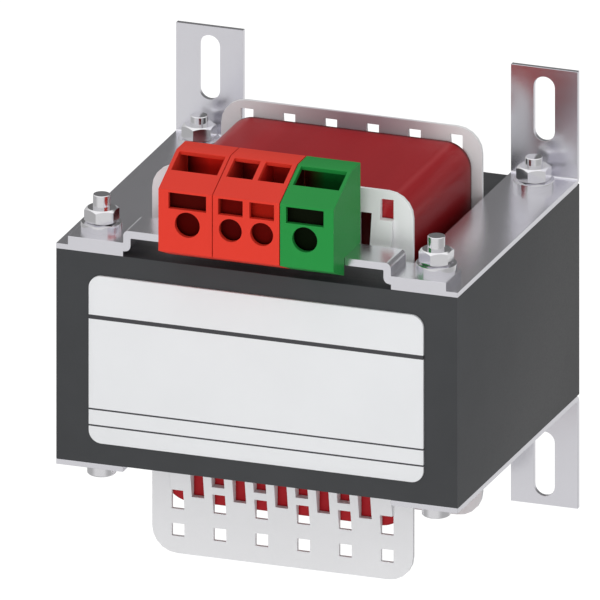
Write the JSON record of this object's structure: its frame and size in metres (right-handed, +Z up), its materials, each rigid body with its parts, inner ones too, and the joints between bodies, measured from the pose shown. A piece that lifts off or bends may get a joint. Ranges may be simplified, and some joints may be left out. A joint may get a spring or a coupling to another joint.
{
  "type": "autotransformer",
  "caption": "Open-frame autotransformer: laminated core, perforated bobbin with a taped coil, slotted mounting tabs and a row of clamp terminals on top.",
  "frame": {"origin": "middle of the core's back face, which is flush with the backs of the four mounting tabs", "axes": "+X to the right seen from the front, +Y out of the back face into the wall, +Z up towards the terminals"},
  "size_m": [0.096, 0.0872, 0.1044],
  "materials": {
    "core_paint": "smooth dark grey paint over laminated electrical steel",
    "bobbin_plastic": "pale grey moulded plastic, satin",
    "copper": "enamelled copper wire, wound in a solid block of turns",
    "insulation_film": "yellowish insulating film",
    "red_tape": "dark red glossy wrapping tape",
    "lead_sleeve": "black sleeving on copper wire",
    "zinc": "bright zinc-plated sheet steel, softly reflecting",
    "screw_steel": "bright zinc-plated steel",
    "red_plastic": "bright red moulded plastic, satin",
    "green_plastic": "green moulded plastic, satin",
    "contact_copper": "tinned copper alloy",
    "spring_steel": "spring steel strip",
    "plate_face": "pale plate with two thin dark rules and a thicker one, no text"
  },
  "bodies": {
    "root": {"core_e_laminations": "core_paint", "core_i_laminations": "core_paint", "bobbin": "bobbin_plastic", "common_winding": "copper", "series_winding": "copper", "winding_insulation": "insulation_film", "outer_wrap": "red_tape", "coil_end_tape_front": "red_tape", "coil_end_tape_rear": "red_tape", "lead_line": "lead_sleeve", "lead_tap": "lead_sleeve", "lead_common": "lead_sleeve", "upper_bracket_left": "zinc", "upper_bracket_right": "zinc", "lower_bracket_left": "zinc", "lower_bracket_right": "zinc", "terminal_carrier": "zinc", "clamping_screw_front_left": "screw_steel", "clamping_screw_front_right": "screw_steel", "clamping_screw_rear_left": "screw_steel", "clamping_screw_rear_right": "screw_steel", "washer_front_left": "screw_steel", "washer_front_right": "screw_steel", "washer_rear_left": "screw_steel", "washer_rear_right": "screw_steel", "nut_front_left": "screw_steel", "nut_front_right": "screw_steel", "nut_rear_left": "screw_steel", "nut_rear_right": "screw_steel", "terminal_block_line": "red_plastic", "terminal_block_load": "red_plastic", "terminal_block_earth": "green_plastic", "contact_bar_line": "contact_copper", "contact_bar_tap": "contact_copper", "contact_bar_common": "contact_copper", "contact_bar_earth": "contact_copper", "clamp_spring_line": "spring_steel", "clamp_spring_tap": "spring_steel", "clamp_spring_common": "spring_steel", "clamp_spring_earth": "spring_steel", "rating_plate": "plate_face"}
  },
  "joints": []
}
